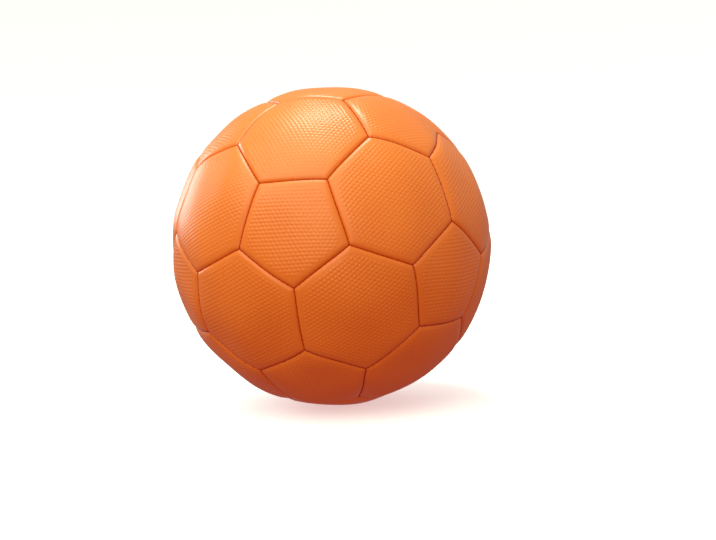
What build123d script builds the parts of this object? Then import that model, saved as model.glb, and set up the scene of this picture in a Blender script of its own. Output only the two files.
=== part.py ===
from build123d import *

import os
from itertools import combinations, product
from math import acos, atan, cos, degrees, pi, radians, sin, sqrt, tan

# Handball: twelve pentagons and twenty hexagons stitched edge to edge round an inflated bladder.
# Lengths are in millimetres, and angles in radians unless a name says degrees.
# The origin is the centre of the ball. +Z runs through the middle of the top hexagon, and the
# front pentagon stands on the meridian of -Y.

# The ball
ball_circumference = 590.0

# The laminate of a panel, from the outside in, with a glue line between its layers
cover_thickness = 1.2
foam_thickness = 2.0
lining_thickness = 1.0
glue_line = 0.1

# The edge of a panel: it rolls into the seam and turns in to the depth of the laminate
seam_gap = 0.2
roll_radius = 3.0

# The sewing thread that lies in the seams
thread_diameter = 0.9
thread_clearance = 0.05
thread_end_setback = 2.4

# The bladder
bladder_wall = 1.2
bladder_clearance = 0.2

# The valve housing: its stem fills the valve hole, and its flange is bonded inside the bladder
valve_stem_diameter = 8.0
valve_clearance = 0.15
valve_mouth_recess = 0.5
valve_hole_rim_radius = 0.6
valve_flange_diameter = 26.0
valve_flange_thickness = 1.4
valve_barrel_length = 11.0
valve_barrel_edge_radius = 0.8

# The valve plug: a soft insert with a headed top and a blind channel for the inflating needle
plug_diameter = 5.0
plug_clearance = 0.1
plug_head_diameter = 6.4
plug_head_height = 1.2
plug_foot_setback = 1.0
plug_foot_chamfer = 0.6
needle_bore_diameter = 2.2
needle_bore_length = 9.0
needle_mouth_diameter = 3.2
needle_mouth_angle_degrees = 90

# Which way the valve faces, as a share of each axis: it sits in the hexagon nearest to this
valve_facing_shares = (-0.6, 0.75, 0.3)

# How far a cut runs past what it cuts
overrun = 5.0

# Spheres stand with their poles to the side, away from the panels
sphere_turn_degrees = (90, 0, 0)
angle_tolerance_degrees = 1

# Sizes that follow from the ones above
ball_radius = ball_circumference / (2 * pi)
foam_depth = cover_thickness + glue_line
lining_depth = foam_depth + foam_thickness + glue_line
laminate_inner_radius = ball_radius - lining_depth - lining_thickness
form_inner_radius = laminate_inner_radius - overrun
bladder_radius = laminate_inner_radius - bladder_clearance
bladder_inner_radius = bladder_radius - bladder_wall
valve_hole_radius = valve_stem_diameter / 2 + valve_clearance
valve_mouth_height = ball_radius - valve_mouth_recess
valve_flange_top = bladder_inner_radius - valve_clearance
valve_barrel_foot = valve_flange_top - valve_flange_thickness - valve_barrel_length
plug_foot = valve_barrel_foot + plug_foot_setback
needle_mouth_depth = (needle_mouth_diameter - needle_bore_diameter) / 2
needle_mouth_depth /= tan(radians(needle_mouth_angle_degrees / 2))

# Angles of the thirty-two panel ball, fixed by the icosahedron that it is cut from
pentagon_sides = 5
hexagon_sides = 6
pentagon_to_pentagon_angle = acos(1 / sqrt(5))
hexagon_to_near_pentagon_angle = acos(sqrt((5 + 2 * sqrt(5)) / 15))
hexagon_to_belt_pentagon_angle = acos(sqrt((5 - 2 * sqrt(5)) / 15))
hexagon_to_hexagon_angle = acos(sqrt(5) / 3)
hexagon_half_angle = hexagon_to_hexagon_angle / 2
pentagon_half_angle = hexagon_to_near_pentagon_angle - hexagon_half_angle
seam_half_angle = atan(sin(hexagon_half_angle) * tan(pi / hexagon_sides))

# The pentagons stand in four rings of three round +Z, at these polar angles and first bearings
pentagon_rings = (
    (hexagon_to_near_pentagon_angle, 90),
    (hexagon_to_belt_pentagon_angle, 270),
    (pi - hexagon_to_belt_pentagon_angle, 90),
    (pi - hexagon_to_near_pentagon_angle, 270),
)
ring_turns_degrees = (0, 120, 240)


# Where each panel and each seam lies


def direction(polar, bearing_degrees):
    """The unit vector at a polar angle from +Z and a bearing from +X."""
    return Vector(sin(polar), 0, cos(polar)).rotate(Axis.Z, bearing_degrees)


def apart_by(first, second, angle):
    """Whether two panel axes stand at this angle to each other."""
    return abs(first.get_angle(second) - degrees(angle)) < angle_tolerance_degrees


def panel_plane(axis, other_axes):
    """A panel's own plane: Z along its axis, X to the middle of its seam with a nearest panel."""
    nearest = min(other_axes, key=axis.get_angle)
    return Plane(origin=(0, 0, 0), x_dir=nearest - axis * axis.dot(nearest), z_dir=axis)


def seam_plane(first, first_half_angle, second, second_half_angle):
    """The plane of the great circle that a seam follows, with X through the seam's middle."""
    middle = first * sin(second_half_angle) + second * sin(first_half_angle)
    return Plane(origin=(0, 0, 0), x_dir=middle, z_dir=middle.cross(first.cross(second)))


pentagon_axes = [
    direction(polar, bearing + turn)
    for polar, bearing in pentagon_rings
    for turn in ring_turns_degrees
]

# A hexagon fills the space between each three pentagons that are neighbours of one another
hexagon_axes = [
    (first + second + third).normalized()
    for first, second, third in combinations(pentagon_axes, 3)
    if apart_by(first, second, pentagon_to_pentagon_angle)
    and apart_by(second, third, pentagon_to_pentagon_angle)
    and apart_by(third, first, pentagon_to_pentagon_angle)
]

pentagon_planes = [panel_plane(axis, hexagon_axes) for axis in pentagon_axes]
hexagon_planes = [panel_plane(axis, pentagon_axes) for axis in hexagon_axes]
valve_plane = min(
    hexagon_planes, key=lambda plane: plane.z_dir.get_angle(Vector(*valve_facing_shares))
)

pentagon_seam_planes = [
    seam_plane(pentagon, pentagon_half_angle, hexagon, hexagon_half_angle)
    for pentagon, hexagon in product(pentagon_axes, hexagon_axes)
    if apart_by(pentagon, hexagon, hexagon_to_near_pentagon_angle)
]
hexagon_seam_planes = [
    seam_plane(first, hexagon_half_angle, second, hexagon_half_angle)
    for first, second in combinations(hexagon_axes, 2)
    if apart_by(first, second, hexagon_to_hexagon_angle)
]


# The layers of a panel, each made once round +Z


def roll_cutter(radius, roll, wall_offset):
    """A tool that rolls the edge between a sphere and a wall that stands off its centre.

    The tool is turned about Z, which is square to the wall, and its middle faces X.
    """
    reach = radius - roll
    centre_height = wall_offset + roll
    path_radius = sqrt(reach**2 - centre_height**2)
    to_surface = radius / reach
    half_arc_degrees = degrees(2 * seam_half_angle)
    with BuildPart() as cutter:
        with BuildSketch(Plane.XZ.rotated((0, 0, -half_arc_degrees))):
            with BuildLine():
                top = (path_radius * to_surface, centre_height * to_surface)
                rolled = TangentArc((path_radius, wall_offset), top, tangent=(1, 0))
                Polyline(
                    rolled @ 1,
                    (radius + overrun, centre_height * to_surface),
                    (radius + overrun, wall_offset - overrun),
                    (path_radius, wall_offset - overrun),
                    rolled @ 0,
                )
            make_face()
        revolve(axis=Axis.Z, revolution_arc=2 * half_arc_degrees)
    return cutter.part


def panel_form(sides, half_angle, inset):
    """A panel's whole form, its surface drawn in by inset from the outside of the cover."""
    wall_offset = seam_gap / 2 + inset
    cutter = roll_cutter(ball_radius - inset, roll_radius - inset, wall_offset)
    inward = Vector(-cos(half_angle), 0, sin(half_angle))
    side_middle = Vector(sin(half_angle), 0, cos(half_angle))
    side_planes = [
        Plane(
            origin=(0, 0, 0),
            x_dir=side_middle.rotate(Axis.Z, 360 * side / sides),
            z_dir=inward.rotate(Axis.Z, 360 * side / sides),
        )
        for side in range(sides)
    ]
    with BuildPart() as form:
        Sphere(ball_radius - inset, rotation=sphere_turn_degrees)
        Sphere(form_inner_radius, rotation=sphere_turn_degrees, mode=Mode.SUBTRACT)
        for side_plane in side_planes:
            split(bisect_by=side_plane.offset(wall_offset), keep=Keep.TOP)
        for side_plane in side_planes:
            with Locations(side_plane):
                add(cutter, mode=Mode.SUBTRACT)
    return form.part


def cover_layer(sides, half_angle):
    """A cover: a domed skin with rolled edges, turned in to the depth of the laminate."""
    outside = panel_form(sides, half_angle, 0)
    inside = panel_form(sides, half_angle, cover_thickness)
    with BuildPart() as cover:
        add(outside)
        add(inside, mode=Mode.SUBTRACT)
        Sphere(laminate_inner_radius, rotation=sphere_turn_degrees, mode=Mode.SUBTRACT)
    return cover.part


def backing_layer(sides, half_angle, depth, thickness):
    """A layer that fills the cover between two depths below the ball's surface."""
    filling = panel_form(sides, half_angle, foam_depth)
    with BuildPart() as layer:
        add(filling)
        Sphere(ball_radius - depth, rotation=sphere_turn_degrees, mode=Mode.INTERSECT)
        Sphere(ball_radius - depth - thickness, rotation=sphere_turn_degrees, mode=Mode.SUBTRACT)
    return layer.part


def with_valve_hole(layer):
    """A layer of the panel that the valve comes through."""
    with BuildPart() as holed:
        add(layer)
        with Locations((0, 0, ball_radius)):
            Hole(valve_hole_radius)
    return holed.part


pentagon_cover = cover_layer(pentagon_sides, pentagon_half_angle)
pentagon_foam = backing_layer(pentagon_sides, pentagon_half_angle, foam_depth, foam_thickness)
pentagon_lining = backing_layer(
    pentagon_sides, pentagon_half_angle, lining_depth, lining_thickness
)
hexagon_cover = cover_layer(hexagon_sides, hexagon_half_angle)
hexagon_foam = backing_layer(hexagon_sides, hexagon_half_angle, foam_depth, foam_thickness)
hexagon_lining = backing_layer(hexagon_sides, hexagon_half_angle, lining_depth, lining_thickness)

valve_foam = with_valve_hole(hexagon_foam)
valve_lining = with_valve_hole(hexagon_lining)
holed_cover = with_valve_hole(hexagon_cover)

# The cover that the valve comes through has the rim of its hole rounded
with BuildPart() as valve_cover:
    add(holed_cover)
    hole_rim = valve_cover.edges().filter_by(GeomType.CIRCLE).sort_by(Axis.Z)[-1]
    fillet(hole_rim, valve_hole_rim_radius)

# The thread of one seam lies in the groove, where the two rolled edges stop it
thread_radius = thread_diameter / 2
thread_reach = roll_radius + thread_radius + thread_clearance
thread_depth = roll_radius - sqrt(thread_reach**2 - (roll_radius + seam_gap / 2) ** 2)
thread_path_radius = ball_radius - thread_depth
thread_half_arc_degrees = degrees(seam_half_angle - thread_end_setback / thread_path_radius)
with BuildPart() as seam_thread:
    with BuildSketch(Plane.XZ.rotated((0, 0, -thread_half_arc_degrees))):
        with Locations((thread_path_radius, 0)):
            Circle(thread_radius)
    revolve(axis=Axis.Z, revolution_arc=2 * thread_half_arc_degrees)


# The bladder and the valve, made round +Z as the valve's own axis

upwards = (Align.CENTER, Align.CENTER, Align.MIN)

with BuildPart() as bladder_form:
    Sphere(bladder_radius, rotation=sphere_turn_degrees)
    Sphere(bladder_inner_radius, rotation=sphere_turn_degrees, mode=Mode.SUBTRACT)
    Cylinder(valve_hole_radius, ball_radius, align=upwards, mode=Mode.SUBTRACT)

# Housing: a domed flange under the bladder's wall, and a stem with a stepped seat for the plug
with BuildPart() as housing_form:
    Sphere(valve_flange_top, rotation=sphere_turn_degrees)
    Sphere(valve_flange_top - valve_flange_thickness, rotation=sphere_turn_degrees, mode=Mode.SUBTRACT)
    Cylinder(valve_flange_diameter / 2, ball_radius, align=upwards, mode=Mode.INTERSECT)
    with Locations((0, 0, valve_barrel_foot)):
        Cylinder(valve_stem_diameter / 2, valve_mouth_height - valve_barrel_foot, align=upwards)
    barrel_foot = housing_form.faces().sort_by(Axis.Z)[0]
    fillet(barrel_foot.edges(), valve_barrel_edge_radius)
    with Locations((0, 0, valve_mouth_height)):
        CounterBoreHole(
            plug_diameter / 2 + plug_clearance,
            plug_head_diameter / 2 + plug_clearance,
            plug_head_height + plug_clearance,
        )

# Plug: a headed rubber pin with a blind channel, closed below by the rubber that seals it
with BuildPart() as plug_form:
    with Locations((0, 0, plug_foot)):
        Cylinder(plug_diameter / 2, valve_mouth_height - plug_foot, align=upwards)
    chamfer(plug_form.faces().sort_by(Axis.Z)[0].edges(), plug_foot_chamfer)
    with Locations((0, 0, valve_mouth_height - plug_head_height)):
        Cylinder(plug_head_diameter / 2, plug_head_height, align=upwards)
    with Locations((0, 0, valve_mouth_height)):
        CounterSinkHole(
            needle_bore_diameter / 2,
            needle_mouth_diameter / 2,
            needle_bore_length + needle_mouth_depth,
            needle_mouth_angle_degrees,
        )


# The nodes

parts_folder = "parts"
os.makedirs(parts_folder, exist_ok=True)


def write(part, name):
    part.label = name
    export_step(part, f"{parts_folder}/{name}.step")


# Covers, one node a panel
for number, plane in enumerate(pentagon_planes, start=1):
    with BuildPart() as pentagon_panel:
        with Locations(plane):
            add(pentagon_cover)
    write(pentagon_panel.part, f"pentagon_panel_{number:02d}")

for number, plane in enumerate(hexagon_planes, start=1):
    with BuildPart() as hexagon_panel:
        with Locations(plane):
            add(valve_cover.part if plane is valve_plane else hexagon_cover)
    write(hexagon_panel.part, f"hexagon_panel_{number:02d}")

# Foam pads and linings, each layer of like panels a node; the valve hole runs on through them
plain_hexagon_planes = [plane for plane in hexagon_planes if plane is not valve_plane]

with BuildPart() as pentagon_foam_pads:
    with Locations(*pentagon_planes):
        add(pentagon_foam)
write(pentagon_foam_pads.part, "pentagon_foam_pads")

with BuildPart() as hexagon_foam_pads:
    with Locations(*plain_hexagon_planes):
        add(hexagon_foam)
    with Locations(valve_plane):
        add(valve_foam)
write(hexagon_foam_pads.part, "hexagon_foam_pads")

with BuildPart() as pentagon_linings:
    with Locations(*pentagon_planes):
        add(pentagon_lining)
write(pentagon_linings.part, "pentagon_linings")

with BuildPart() as hexagon_linings:
    with Locations(*plain_hexagon_planes):
        add(hexagon_lining)
    with Locations(valve_plane):
        add(valve_lining)
write(hexagon_linings.part, "hexagon_linings")

# Threads: those round the pentagons, and those between two hexagons
with BuildPart() as pentagon_seam_threads:
    with Locations(*pentagon_seam_planes):
        add(seam_thread.part)
write(pentagon_seam_threads.part, "pentagon_seam_threads")

with BuildPart() as hexagon_seam_threads:
    with Locations(*hexagon_seam_planes):
        add(seam_thread.part)
write(hexagon_seam_threads.part, "hexagon_seam_threads")

# Bladder and valve
with BuildPart() as bladder:
    with Locations(valve_plane):
        add(bladder_form.part)
write(bladder.part, "bladder")

with BuildPart() as valve_housing:
    with Locations(valve_plane):
        add(housing_form.part)
write(valve_housing.part, "valve_housing")

with BuildPart() as valve_plug:
    with Locations(valve_plane):
        add(plug_form.part)
write(valve_plug.part, "valve_plug")
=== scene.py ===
from itertools import combinations, product
from math import acos, atan, cos, pi, radians, sin, sqrt, tan

import bpy
import numpy as np
from mathutils import Matrix, Vector
from mathutils.geometry import delaunay_2d_cdt


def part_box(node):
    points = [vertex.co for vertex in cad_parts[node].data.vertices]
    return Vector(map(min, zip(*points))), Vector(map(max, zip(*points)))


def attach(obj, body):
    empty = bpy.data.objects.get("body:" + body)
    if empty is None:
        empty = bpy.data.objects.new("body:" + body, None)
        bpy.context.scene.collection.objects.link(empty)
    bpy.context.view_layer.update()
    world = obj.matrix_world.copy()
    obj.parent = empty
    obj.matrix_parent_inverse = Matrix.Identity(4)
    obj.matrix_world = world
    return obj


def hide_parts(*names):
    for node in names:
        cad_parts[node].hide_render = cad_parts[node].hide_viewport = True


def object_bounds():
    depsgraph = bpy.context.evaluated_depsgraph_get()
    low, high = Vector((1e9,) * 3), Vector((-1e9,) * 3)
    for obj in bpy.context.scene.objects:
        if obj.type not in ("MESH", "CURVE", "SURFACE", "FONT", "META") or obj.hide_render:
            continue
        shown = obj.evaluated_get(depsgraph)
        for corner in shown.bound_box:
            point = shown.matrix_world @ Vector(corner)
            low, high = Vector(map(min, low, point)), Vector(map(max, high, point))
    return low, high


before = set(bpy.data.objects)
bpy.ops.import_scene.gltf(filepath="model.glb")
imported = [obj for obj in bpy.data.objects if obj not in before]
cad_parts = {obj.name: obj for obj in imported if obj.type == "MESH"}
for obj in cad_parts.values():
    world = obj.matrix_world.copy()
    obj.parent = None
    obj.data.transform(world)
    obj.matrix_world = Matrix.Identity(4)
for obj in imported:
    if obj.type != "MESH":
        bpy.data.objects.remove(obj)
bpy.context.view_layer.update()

# Handball: embossed panels, stitched edge to edge, with the valve in a panel on the hidden side.
# Lengths are in metres, angles in radians unless a name says degrees, and colours are linear.
mm = 0.001

# The ball, as the solids have it
ball_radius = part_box("hexagon_panel_01")[1].z
cover_thickness = 1.2 * mm
laminate_depth = 4.4 * mm
roll_radius = 3.0 * mm
valve_hole_radius = 4.15 * mm

# The edge of a panel: it rolls over into the seam, and its corners are round
seam_half_gap = 0.03 * mm
edge_width = 3.0 * mm
edge_depth = 1.45 * mm
corner_radius = 1.4 * mm
shoulder_drop = 0.3 * mm
shoulder_width = 4.0 * mm
soft_corner = 3.0 * mm
edge_rows = 9
back_row_step = 4

# The stitches, and how the holes that they go through pull the edges in
thread_radius = 0.42 * mm
thread_depth = 1.4 * mm
stitches_per_seam = 13
pucker_depth = 0.16 * mm
pucker_width = 0.9 * mm
tightness_turns = (9.1, -7.3, 8.2)
stitch_length_share = 0.97
stitch_dip = 0.15 * mm
stitch_stray = 0.06 * mm
stitch_tip_share = 0.5
stitch_taper_power = 4
stitch_strands = 2
stitch_turns = 1.5
stitch_lobe_share = 0.14
stitch_rings = 9
stitch_sides = 10

# The embossing: rounded pimples in rows, and a plain border at the seams. The rows of a panel run
# along the edge whose neighbour lies most nearly along the row way.
pimple_pitch = 2.43 * mm
pimple_height = 0.26 * mm
pimple_foot_share = -0.3
pimple_top_share = 0.8
row_weight_shares = (0.5, 0.25, 0.25)
pentagon_row_way = Vector((0, 0, 1))
hexagon_row_way = Vector((0.58, 0.62, -0.53))
border_plain = 2.4 * mm
border_full = 4.6 * mm
steps_per_pimple = 4
lattice_reach_share = 1.2
mesh_step = pimple_pitch / steps_per_pimple
mesh_clearance_share = 0.6
mesh_clearance = mesh_clearance_share * mesh_step
merge_share = 0.001
merge_distance = merge_share * mesh_step
points_per_side = 56
points_per_corner = 10

# The valve hole's rim, with a plain ring round it
rim_radius = 0.6 * mm
rim_rows = 5
rim_points = 48
rim_plain = 6.0 * mm
rim_full = 7.5 * mm
back_step = 5.0 * mm
back_clearance = back_step / 2

# How a sewn ball strays from the perfect form
stray_seed = 11
stray_waves = 24
stray_ways = 4
stray_length = 34 * mm
stray_across = 0.22 * mm
stray_height = 0.16 * mm
stray_clear = 9 * mm
stray_free = 22 * mm

# Cover: orange synthetic leather, satin, with painted shade between the pimples and in the seams
cover_colours = ((0.86, 0.205, 0.018, 1), (0.9, 0.228, 0.021, 1))
cover_tone_patch = 45 * mm
cover_grain = 0.45 * mm
cover_grain_depth = 0.03 * mm
cover_roughness_shares = (0.28, 0.36)
cover_gloss_share = 0.5
# Painted shade: a darker colour between the pimples, where they sink lowest
valley_shade_colour = (0.8, 0.165, 0.012, 1)
valley_shade_share = 0.2
# Painted shade: a darker colour close to the seam, in its groove
seam_shade_colour = (0.55, 0.035, 0.002, 1)
seam_shade_share = 0.6
seam_shade_from_share = 0.4

# Thread: dull orange polyester, its colour darkened to paint in the shade of the seam groove
thread_and_groove_shade_colours = ((0.45, 0.04, 0.003, 1), (0.6, 0.075, 0.006, 1))
thread_grain = 0.18 * mm
thread_grain_depth = 0.05 * mm
thread_roughness_share = 0.85
thread_gloss_share = 0.1

# Foam pads: off-white, open-celled
foam_colours = ((0.62, 0.6, 0.53, 1), (0.8, 0.78, 0.7, 1))
foam_grain = 0.8 * mm
foam_grain_depth = 0.1 * mm
foam_roughness_share = 0.9
foam_gloss_share = 0.3

# Linings: undyed cloth
lining_colours = ((0.5, 0.47, 0.4, 1), (0.72, 0.69, 0.6, 1))
lining_grain = 0.5 * mm
lining_grain_depth = 0.1 * mm
lining_roughness_share = 0.85
lining_gloss_share = 0.3

# Bladder: black butyl
bladder_colours = ((0.012, 0.012, 0.013, 1), (0.03, 0.03, 0.032, 1))
bladder_grain = 1.5 * mm
bladder_grain_depth = 0.05 * mm
bladder_roughness_share = 0.6
bladder_gloss_share = 0.5

# Valve: a black housing and a brown plug, both of moulded rubber
housing_colours = ((0.016, 0.015, 0.015, 1), (0.035, 0.033, 0.032, 1))
plug_colours = ((0.3, 0.06, 0.012, 1), (0.42, 0.09, 0.018, 1))
rubber_grain = 0.4 * mm
rubber_grain_depth = 0.02 * mm
rubber_roughness_share = 0.5
rubber_gloss_share = 0.5

# Noise that the grain comes from: most of its values lie between these shares
noise_shares = (0.3, 0.7)
noise_detail = 4


# Where the panels and seams lie

pentagon_sides = 5
hexagon_sides = 6
near_angle = acos(sqrt((5 + 2 * sqrt(5)) / 15))
belt_angle = acos(sqrt((5 - 2 * sqrt(5)) / 15))
pentagon_spacing = acos(1 / sqrt(5))
hexagon_half_angle = acos(sqrt(5) / 3) / 2
pentagon_half_angle = near_angle - hexagon_half_angle
seam_half_angle = atan(sin(hexagon_half_angle) * tan(pi / hexagon_sides))
angle_tolerance = radians(1)
ring_turns_degrees = (0, 120, 240)
pentagon_rings = (
    (near_angle, 90),
    (belt_angle, 270),
    (pi - belt_angle, 90),
    (pi - near_angle, 270),
)


def direction(polar, bearing_degrees):
    bearing = radians(bearing_degrees)
    return Vector((sin(polar) * cos(bearing), sin(polar) * sin(bearing), cos(polar)))


def apart_by(first, second, angle):
    return abs(first.angle(second) - angle) < angle_tolerance


def node_at(axis, kind):
    """The CAD panel of this kind whose middle lies along the axis."""
    named = [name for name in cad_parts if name.startswith(kind)]
    return max(named, key=lambda name: sum(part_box(name), Vector()).normalized().dot(axis))


def panel_turn(axis, towards):
    """The turn that sets a panel made round +Z in its place, its first edge facing a neighbour."""
    x = (towards - axis * axis.dot(towards)).normalized()
    return np.array(Matrix((x, axis.cross(x), axis)).transposed())


def row_neighbour(axis, others, angle, row_way):
    """The neighbour that a panel's rows face: the one most nearly along the way, or against it."""

    def along_way(other):
        return abs((other - axis * axis.dot(other)).normalized().dot(row_way))

    near = [other for other in others if apart_by(axis, other, angle)]
    return max(near, key=along_way)


pentagon_axes = [
    direction(polar, bearing + turn)
    for polar, bearing in pentagon_rings
    for turn in ring_turns_degrees
]
hexagon_axes = [
    (first + second + third).normalized()
    for first, second, third in combinations(pentagon_axes, 3)
    if apart_by(first, second, pentagon_spacing)
    and apart_by(second, third, pentagon_spacing)
    and apart_by(third, first, pentagon_spacing)
]
valve_axis = sum(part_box("valve_plug"), Vector()).normalized()
valve_axis = max(hexagon_axes, key=valve_axis.dot)


# Meshes

# The kind of filling that keeps only the triangles inside the outer loop
fill_inside = 1


def smooth_step(values, low, high):
    share = np.clip((values - low) / (high - low), 0, 1)
    return share * share * (3 - 2 * share)


random = np.random.default_rng(stray_seed)
wave_ways = random.normal(size=(stray_waves, 3))
wave_ways *= 2 * pi / stray_length / np.linalg.norm(wave_ways, axis=1, keepdims=True)
wave_phases = random.uniform(0, 2 * pi, (stray_ways, stray_waves))


def strayed(points):
    """Points of the shell, moved a little as a sewn ball strays; the valve stays where it is."""
    turns = points @ wave_ways.T
    waves = np.stack([np.sin(turns + phase).sum(1) for phase in wave_phases], axis=1)
    waves *= sqrt(2 / stray_waves)
    outward = points / np.linalg.norm(points, axis=1, keepdims=True)
    off_valve = np.arccos(np.clip(outward @ np.array(valve_axis), -1, 1)) * ball_radius
    free = smooth_step(off_valve, stray_clear, stray_free)[:, None]
    return points + free * (stray_across * waves[:, :3] + stray_height * waves[:, 3:] * outward)


def make_piece(name, points, faces, shade, node, material):
    """A smooth mesh that stands for a CAD node, with named values at its points for its shading."""
    mesh = bpy.data.meshes.new(name)
    mesh.from_pydata(points, [], faces)
    mesh.shade_smooth()
    for key, values in shade.items():
        mesh.attributes.new(key, "FLOAT", "POINT").data.foreach_set("value", values)
    mesh.materials.append(material)
    piece = bpy.data.objects.new(name, mesh)
    bpy.context.scene.collection.objects.link(piece)
    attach(piece, "root")
    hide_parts(node)


def strips(rows):
    """Quads between neighbouring rows of points, each a closed loop of indices."""
    return [
        quad
        for outer, inner in zip(rows[1:], rows)
        for quad in zip(inner, outer, np.roll(outer, -1), np.roll(inner, -1))
    ]


def filled(points, outside, hole=None):
    """Triangles over the points inside one loop of indices, and outside another if there is one."""
    loops = [outside] if hole is None else [outside, hole]
    edges = [pair for loop in loops for pair in zip(loop.tolist(), np.roll(loop, -1).tolist())]
    corners = [Vector(point) for point in points]
    made = delaunay_2d_cdt(corners, edges, [], fill_inside, merge_distance)
    _, _, triangles, origins, _, _ = made
    faces = np.array([ids[0] for ids in origins])[np.array(triangles)]
    if hole is not None:
        in_hole = np.isin(faces, hole).all(1)
        faces = faces[~in_hole]
    return faces


class Panel:
    """A panel's form round +Z, flat: its points in the plane that touches the ball there."""

    def __init__(self, sides, half_angle, with_hole=False):
        self.sides = sides
        self.half_angle = half_angle
        self.apothem = ball_radius * tan(half_angle)
        self.stretch = 1 / cos(half_angle) ** 2
        self.bearings = 2 * pi * np.arange(sides) / sides
        self.flat = np.empty((0, 2))
        self.depth = np.empty(0)
        self.emboss = np.empty(0)
        self.faces = []
        self.build(with_hole)

    def add(self, flat, depth, emboss=0):
        start = len(self.flat)
        self.flat = np.vstack((self.flat, flat))
        self.depth = np.append(self.depth, np.broadcast_to(depth, len(flat)))
        self.emboss = np.append(self.emboss, np.broadcast_to(emboss, len(flat)))
        return np.arange(start, len(self.flat))

    def core(self, inset):
        """The middle of a side of the outline that a corner rolls round, for an outline set in."""
        return self.apothem - (inset + corner_radius) * self.stretch

    def outline(self, inset):
        """The outline set in from the seam, with round corners."""
        core = self.core(inset)
        half_side = core * tan(pi / self.sides)
        runs = np.linspace(-half_side, half_side, points_per_side)
        fan = np.linspace(0, 2 * pi / self.sides, points_per_corner)[1:-1]
        reach = corner_radius * self.stretch
        points = []
        for bearing in self.bearings:
            normal = np.array((cos(bearing), sin(bearing)))
            tangent = np.array((-sin(bearing), cos(bearing)))
            corner = core * normal + half_side * tangent
            points += [(core + reach) * normal + run * tangent for run in runs]
            points += [
                corner + reach * np.array((cos(bearing + turn), sin(bearing + turn))) for turn in fan
            ]
        return np.array(points)

    def sides_seen(self, flat):
        """How far each point lies along the way out to each side."""
        return flat @ np.stack((np.cos(self.bearings), np.sin(self.bearings)))

    def inset(self, flat):
        """How far in from the seam each point lies, with round corners."""
        soft = soft_corner * self.stretch
        along = self.sides_seen(flat)
        most = along.max(1)
        reach = most + soft * np.log(np.exp((along - most[:, None]) / soft).sum(1))
        return (self.apothem - reach) / self.stretch

    def seam_place(self, flat):
        """How far along its nearest seam each point lies, from the seam's middle."""
        bearing = self.bearings[self.sides_seen(flat).argmax(1)]
        across = flat[:, 1] * np.cos(bearing) - flat[:, 0] * np.sin(bearing)
        return np.arctan(across * cos(self.half_angle) / ball_radius)

    def lattice(self, step):
        """Points in rows along the first edge, evenly spread over the ball, in the flat plane."""
        reach = int(self.apothem / step) * 2
        along, across = np.mgrid[-reach:reach + 1, -reach:reach + 1].reshape(2, -1)
        spots = step * np.stack((along * sqrt(3) / 2, across + along / 2), axis=1)
        far = np.linalg.norm(spots, axis=1)
        near = far < self.apothem * lattice_reach_share
        spots, far = spots[near], np.maximum(far[near], merge_distance)
        return spots, spots * (np.tan(far / ball_radius) * ball_radius / far)[:, None]

    def embossing(self, spots, flat):
        """The pimples' height at points of the lattice, from none to all."""
        turn = 4 * pi / sqrt(3) / pimple_pitch
        ways = [np.array((cos(way), sin(way))) for way in (0, pi / 3, 2 * pi / 3)]
        swell = sum(
            share * np.cos(turn * (spots @ way)) for share, way in zip(row_weight_shares, ways)
        )
        return smooth_step(swell, pimple_foot_share, pimple_top_share) * smooth_step(
            self.inset(flat), border_plain, border_full
        )

    def build(self, with_hole):

        def ring(inset, depth):
            return self.add(self.outline(inset), depth)

        # The rolled edge, from the face over into the seam, then the turned-in wall and its back
        slopes = np.linspace(0, pi / 2, edge_rows)
        back_roll = roll_radius - cover_thickness
        rows = [
            ring(seam_half_gap + edge_width * (1 - sin(slope)), edge_depth * (1 - cos(slope)))
            for slope in slopes
        ]
        rows.append(ring(seam_half_gap, laminate_depth))
        rows.append(ring(seam_half_gap + cover_thickness, laminate_depth))
        rows += [
            ring(
                seam_half_gap + cover_thickness + back_roll * (1 - sin(slope)),
                cover_thickness + back_roll * (1 - cos(slope)),
            )
            for slope in slopes[::-back_row_step]
        ]
        self.faces += strips(rows)

        # The face with its pimples, and the plain back
        face_hole = back_hole = None
        if with_hole:
            face_hole, back_hole = self.valve_hole()
        spots, flat = self.lattice(mesh_step)
        kept = self.clearance(flat, seam_half_gap + edge_width) > mesh_clearance
        emboss = self.embossing(spots, flat)
        if with_hole:
            off = np.linalg.norm(spots, axis=1)
            kept &= off > valve_hole_radius + rim_radius + mesh_clearance
            emboss = emboss * smooth_step(off, rim_plain, rim_full)
        face = self.add(flat[kept], 0, emboss[kept])
        self.fill(rows[0], face, face_hole)

        spots, flat = self.lattice(back_step)
        kept = self.clearance(flat, seam_half_gap + roll_radius) > back_clearance
        if with_hole:
            kept &= np.linalg.norm(spots, axis=1) > valve_hole_radius + back_clearance
        back = self.add(flat[kept], cover_thickness)
        self.fill(rows[-1], back, back_hole, turned=True)

    def clearance(self, flat, inset):
        """How far inside an outline that is set in from the seam each point lies."""
        core = self.core(inset)
        along = self.sides_seen(flat)
        nearest = self.bearings[along.argmax(1)]
        outside = along.max(1) - core
        across = np.abs(flat[:, 1] * np.cos(nearest) - flat[:, 0] * np.sin(nearest))
        beyond = across - core * tan(pi / self.sides)
        at_corner = (outside > 0) & (beyond > 0)
        off = np.where(at_corner, np.hypot(outside, beyond), outside)
        return corner_radius - off / self.stretch

    def valve_hole(self):
        """The rounded rim and the wall of the valve hole."""
        bearings = 2 * pi * np.arange(rim_points) / rim_points
        circle = np.stack((np.cos(bearings), np.sin(bearings)), axis=1)
        slopes = np.linspace(0, pi / 2, rim_rows)
        rows = [
            self.add(
                circle * (valve_hole_radius + rim_radius * (1 - sin(slope))),
                rim_radius * (1 - cos(slope)),
            )
            for slope in slopes
        ]
        rows.append(self.add(circle * valve_hole_radius, cover_thickness))
        self.faces += [quad[::-1] for quad in strips(rows)]
        return rows[0], rows[-1]

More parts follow.
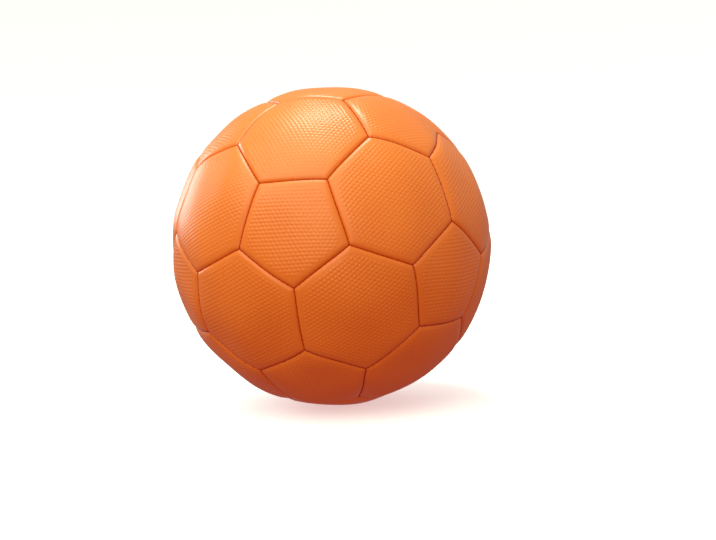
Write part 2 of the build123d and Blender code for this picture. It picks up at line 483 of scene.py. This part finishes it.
    def fill(self, loop, inner, hole, turned=False):
        """The face or the back between its outline and the valve hole, if there is one."""
        parts = [loop, inner] if hole is None else [loop, inner, hole]
        used = np.concatenate(parts)
        local_loop = np.arange(len(loop))
        local_hole = None if hole is None else np.arange(len(used) - len(hole), len(used))
        faces = used[filled(self.flat[used], local_loop, local_hole)]
        self.faces += (faces[:, ::-1] if turned else faces).tolist()

    def placed(self, turn):
        """The panel on the ball: its points, and how deep in a seam and how raised each one is."""
        inset = np.maximum(self.inset(self.flat), 0)
        near = np.exp(-np.maximum(self.clearance(self.flat, seam_half_gap), 0) / pucker_width)
        place = self.seam_place(self.flat) / (2 * seam_half_angle)
        pucker = (1 - np.cos(2 * pi * stitches_per_seam * place)) / 2
        ways = np.column_stack((self.flat, np.full(len(self.flat), ball_radius))) @ turn.T
        ways /= np.linalg.norm(ways, axis=1, keepdims=True)
        tight = (1 + np.sin(ways @ np.array(tightness_turns))) / 2
        drop = shoulder_drop * np.exp(-inset / shoulder_width) + pucker_depth * near * pucker * tight
        depth = self.depth + np.where(self.depth < edge_depth + mesh_step, drop, 0)
        height = ball_radius - depth + pimple_height * self.emboss
        points = strayed(ways * height[:, None])
        # The seam and emboss values steer the cover's painted shade in the seams and between the
        # pimples
        return points, {"seam": near, "emboss": self.emboss}


def stitched(seams):
    """Twisted stitches along seams, each seam given by its middle and the way that it runs."""
    along = np.linspace(0, 1, stitch_rings)
    bearings_round = 2 * pi * np.arange(stitch_sides) / stitch_sides
    points, faces = [], []
    for middle, way in seams:
        square = np.cross(way, middle)
        for number in range(stitches_per_seam):
            shares = (number + 0.5 + (along - 0.5) * stitch_length_share) / stitches_per_seam
            bearings = (2 * shares - 1) * seam_half_angle
            start = len(points) * stitch_sides
            depth = thread_depth + stitch_stray * random.normal()
            for share, bearing in zip(along, bearings):
                outward = middle * cos(bearing) + way * sin(bearing)
                dip = stitch_dip * (2 * share - 1) ** 2
                centre = outward * (ball_radius - depth - dip)
                taper = max(sqrt(1 - (2 * share - 1) ** stitch_taper_power), stitch_tip_share)
                twist = 2 * pi * stitch_turns * share
                lobes = 1 + stitch_lobe_share * np.cos(stitch_strands * (bearings_round - twist))
                girth = (thread_radius * taper * lobes)[:, None]
                points.append(
                    centre + girth * (np.outer(np.cos(bearings_round), square)
                                      + np.outer(np.sin(bearings_round), outward))
                )
            rows = start + np.arange(stitch_rings * stitch_sides).reshape(stitch_rings, -1)
            faces += strips(rows)
            faces += [tuple(rows[0]), tuple(rows[-1][::-1])]
    return strayed(np.vstack(points)), faces


def seam_between(first, first_half_angle, second, second_half_angle):
    """The middle of the seam between two panels, and the way that it runs."""
    middle = (first * sin(second_half_angle) + second * sin(first_half_angle)).normalized()
    return np.array(middle), np.array(first.cross(second).normalized())


# Materials

# The sockets of a mix node that holds colours
mix_share_socket = 0
mix_first_socket = 6
mix_second_socket = 7
mix_colour_socket = 2


def add_node(tree, kind, inputs=(), **settings):
    node = tree.nodes.new(kind)
    for key, value in settings.items():
        setattr(node, key, value)
    for key, value in dict(inputs).items():
        if isinstance(value, bpy.types.NodeSocket):
            tree.links.new(value, node.inputs[key])
        else:
            node.inputs[key].default_value = value
    return node


def new_material(name, **values):
    """A material with a plain shader, its even values set on the shader's own sockets."""
    made = bpy.data.materials.new(name)
    made.use_nodes = True
    tree = made.node_tree
    shader = tree.nodes["Principled BSDF"]
    for key, value in values.items():
        shader.inputs[key.replace("_", " ")].default_value = value
    where = add_node(tree, "ShaderNodeTexCoord").outputs["Object"]
    return made, tree, shader, where


def mixed(tree, share, first, second):
    """A colour between two others."""
    values = {mix_share_socket: share, mix_first_socket: first, mix_second_socket: second}
    return add_node(tree, "ShaderNodeMix", values, data_type="RGBA").outputs[mix_colour_socket]


def ranged(tree, value, low, high, to_low, to_high):
    node = add_node(
        tree,
        "ShaderNodeMapRange",
        {"Value": value, "From Min": low, "From Max": high, "To Min": to_low, "To Max": to_high},
    )
    return node.outputs["Result"]


def noise(tree, where, size):
    return add_node(
        tree, "ShaderNodeTexNoise", {"Vector": where, "Scale": 1 / size, "Detail": noise_detail}
    ).outputs["Fac"]


def bumped(tree, shader, height, distance):
    bump = add_node(tree, "ShaderNodeBump", {"Height": height, "Distance": distance, "Strength": 1})
    tree.links.new(bump.outputs["Normal"], shader.inputs["Normal"])


def attribute(tree, name):
    return add_node(tree, "ShaderNodeAttribute", attribute_name=name).outputs["Fac"]


def cover_material():
    """Orange synthetic leather: satin, finely grained, with painted shade between pimples and in
    seams.
    """
    made, tree, shader, where = new_material("orange_cover", Specular_IOR_Level=cover_gloss_share)
    tone = ranged(tree, noise(tree, where, cover_tone_patch), *noise_shares, 0, 1)
    # Painted shade between the pimples, and painted shade in the seam groove
    valley_shade = ranged(tree, attribute(tree, "emboss"), 0, 1, valley_shade_share, 0)
    seam = ranged(tree, attribute(tree, "seam"), seam_shade_from_share, 1, 0, seam_shade_share)
    colour = mixed(tree, tone, *cover_colours)
    colour = mixed(tree, valley_shade, colour, valley_shade_colour)
    colour = mixed(tree, seam, colour, seam_shade_colour)
    tree.links.new(colour, shader.inputs["Base Color"])
    grain = noise(tree, where, cover_grain)
    roughness = ranged(tree, grain, *noise_shares, *cover_roughness_shares)
    tree.links.new(roughness, shader.inputs["Roughness"])
    bumped(tree, shader, grain, cover_grain_depth)
    return made


def grained_material(name, colours, grain, grain_depth, roughness, gloss):
    """A material whose tone goes with its grain: thread, foam, cloth or rubber."""
    made, tree, shader, where = new_material(name, Roughness=roughness, Specular_IOR_Level=gloss)
    height = noise(tree, where, grain)
    tree.links.new(mixed(tree, height, *colours), shader.inputs["Base Color"])
    bumped(tree, shader, height, grain_depth)
    return made


cover = cover_material()
thread = grained_material(
    "seam_thread",
    thread_and_groove_shade_colours,
    thread_grain,
    thread_grain_depth,
    thread_roughness_share,
    thread_gloss_share,
)
foam = grained_material(
    "white_foam", foam_colours, foam_grain, foam_grain_depth, foam_roughness_share, foam_gloss_share
)
lining = grained_material(
    "woven_lining",
    lining_colours,
    lining_grain,
    lining_grain_depth,
    lining_roughness_share,
    lining_gloss_share,
)
bladder = grained_material(
    "black_bladder",
    bladder_colours,
    bladder_grain,
    bladder_grain_depth,
    bladder_roughness_share,
    bladder_gloss_share,
)
rubber = (rubber_grain, rubber_grain_depth, rubber_roughness_share, rubber_gloss_share)
housing = grained_material("valve_rubber", housing_colours, *rubber)
plug = grained_material("plug_rubber", plug_colours, *rubber)

for node, material in (
    ("pentagon_foam_pads", foam),
    ("hexagon_foam_pads", foam),
    ("pentagon_linings", lining),
    ("hexagon_linings", lining),
    ("bladder", bladder),
    ("valve_housing", housing),
    ("valve_plug", plug),
):
    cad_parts[node].data.materials.clear()
    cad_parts[node].data.materials.append(material)


# Panels and stitches in their places

pentagon = Panel(pentagon_sides, pentagon_half_angle)
hexagon = Panel(hexagon_sides, hexagon_half_angle)
valve_hexagon = Panel(hexagon_sides, hexagon_half_angle, with_hole=True)


def dress(axis, towards, form, kind):
    node = node_at(axis, kind)
    points, shade = form.placed(panel_turn(axis, towards))
    make_piece(f"{node}_cover", points, form.faces, shade, node, cover)


for axis in pentagon_axes:
    towards = row_neighbour(axis, hexagon_axes, near_angle, pentagon_row_way)
    dress(axis, towards, pentagon, "pentagon_panel")
for axis in hexagon_axes:
    towards = row_neighbour(axis, hexagon_axes, 2 * hexagon_half_angle, hexagon_row_way)
    dress(axis, towards, valve_hexagon if axis is valve_axis else hexagon, "hexagon_panel")

pentagon_seams = [
    seam_between(first, pentagon_half_angle, second, hexagon_half_angle)
    for first, second in product(pentagon_axes, hexagon_axes)
    if apart_by(first, second, near_angle)
]
hexagon_seams = [
    seam_between(first, hexagon_half_angle, second, hexagon_half_angle)
    for first, second in combinations(hexagon_axes, 2)
    if apart_by(first, second, 2 * hexagon_half_angle)
]
for kind, seams in (("pentagon", pentagon_seams), ("hexagon", hexagon_seams)):
    points, faces = stitched(seams)
    make_piece(f"{kind}_seam_stitches", points, faces, {}, f"{kind}_seam_threads", thread)


# Floor, light and camera

camera_azimuth_degrees = 13.516
camera_elevation_degrees = 4.05
camera_roll_degrees = -3.184
camera_distance_in_radii = 9.18
camera_lens_px = 1451
photo_px = (716, 540)
ball_px = (331.8, 246.4)
sensor_width_mm = 36.0

floor_radius = 2.4
sweep_radius = 1.6
wall_height = 4.0
sweep_steps = 24
sweep_sides = 96
sweep_glow = 0.55
sweep_colour = (0.9, 0.9, 0.9, 1)
sweep_roughness_share = 0.9
floor_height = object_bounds()[0].z

sky_light_place = (-0.45, -0.85, 1.55)
sky_light_width = 2.4
sky_light_power = 35
sky_light_colour = (0.82, 1.0, 0.8)

top_light_place = (-0.1, 0.34, 1.36)
top_light_width = 0.4
top_light_power = 8.5
top_light_colour = (0.8, 1.0, 0.85)

side_light_place = (-1.45, 0.92, 0.5)
side_light_width = 0.65
side_light_power = 7.5
side_light_colour = (0.8, 1.0, 1.0)

fill_light_place = (0.2, -2.4, 0.5)
fill_light_width = 1.6
fill_light_power = 12.5
fill_light_colour = (1.0, 0.8, 0.58)

# The light of the room: bright from above, dim and warm from below
sky_way = (0, 0.1, 0.99)
sky_colour = (0.68, 0.69, 0.61, 1)
ground_colour = (0.36, 0.11, 0.12, 1)
room_height_shares = (-0.6, 1)


def sweep():
    """A pale round floor that curves up into a wall all round."""
    slopes = [pi / 2 * step / sweep_steps for step in range(sweep_steps + 1)]
    profile = [
        (floor_radius + sweep_radius * sin(slope), floor_height + sweep_radius * (1 - cos(slope)))
        for slope in slopes
    ]
    profile.append((floor_radius + sweep_radius, floor_height + wall_height))
    bearings = [2 * pi * side / sweep_sides for side in range(sweep_sides)]
    points = [
        (radius * cos(bearing), radius * sin(bearing), height)
        for radius, height in profile
        for bearing in bearings
    ]
    rows = np.arange(len(points)).reshape(len(profile), sweep_sides)
    mesh = bpy.data.meshes.new("studio_sweep")
    mesh.from_pydata(points, [], [tuple(rows[0])] + strips(rows))
    mesh.shade_smooth()
    made, _, shader, _ = new_material("pale_sweep", Roughness=sweep_roughness_share)
    shader.inputs["Base Color"].default_value = sweep_colour
    shader.inputs["Emission Color"].default_value = sweep_colour
    shader.inputs["Emission Strength"].default_value = sweep_glow
    mesh.materials.append(made)
    floor = bpy.data.objects.new("studio_sweep", mesh)
    bpy.context.scene.collection.objects.link(floor)
    floor.visible_diffuse = False
    floor.visible_glossy = False
    floor.visible_shadow = False


def area_light(name, place, width, power, colour):
    """A soft square light that faces the ball."""
    data = bpy.data.lights.new(name, "AREA")
    data.shape = "SQUARE"
    data.size = width
    data.energy = power
    data.color = colour
    light = bpy.data.objects.new(name, data)
    light.location = place
    light.rotation_euler = (-Vector(place)).to_track_quat("-Z", "Y").to_euler()
    bpy.context.scene.collection.objects.link(light)


sweep()
area_light("sky_light", sky_light_place, sky_light_width, sky_light_power, sky_light_colour)
area_light("top_light", top_light_place, top_light_width, top_light_power, top_light_colour)
area_light("side_light", side_light_place, side_light_width, side_light_power, side_light_colour)
area_light("fill_light", fill_light_place, fill_light_width, fill_light_power, fill_light_colour)

world = bpy.data.worlds.new("studio")
world.use_nodes = True
room = world.node_tree
seen = add_node(room, "ShaderNodeTexCoord").outputs["Generated"]
height = add_node(room, "ShaderNodeVectorMath", {0: seen, 1: sky_way}, operation="DOT_PRODUCT")
share = ranged(room, height.outputs["Value"], *room_height_shares, 0, 1)
background = room.nodes["Background"]
room.links.new(mixed(room, share, ground_colour, sky_colour), background.inputs["Color"])
bpy.context.scene.world = world
bpy.context.scene.view_settings.view_transform = "Standard"

azimuth = radians(camera_azimuth_degrees)
elevation = radians(camera_elevation_degrees)
back = Vector((sin(azimuth) * cos(elevation), -cos(azimuth) * cos(elevation), sin(elevation)))
level = Vector((cos(azimuth), sin(azimuth), 0))
right = Matrix.Rotation(radians(-camera_roll_degrees), 3, -back) @ level
above = back.cross(right)
ahead = -back
ahead += right * (photo_px[0] / 2 - ball_px[0]) / camera_lens_px
ahead -= above * (photo_px[1] / 2 - ball_px[1]) / camera_lens_px
ahead.normalize()
right = ahead.cross(above).normalized()
camera_data = bpy.data.cameras.new("camera")
camera_data.sensor_width = sensor_width_mm
camera_data.lens = camera_lens_px * sensor_width_mm / photo_px[0]
camera = bpy.data.objects.new("camera", camera_data)
bpy.context.scene.collection.objects.link(camera)
camera.matrix_world = Matrix.Translation(back * camera_distance_in_radii * ball_radius) @ Matrix(
    (right, right.cross(ahead), -ahead)
).transposed().to_4x4()
bpy.context.scene.camera = camera
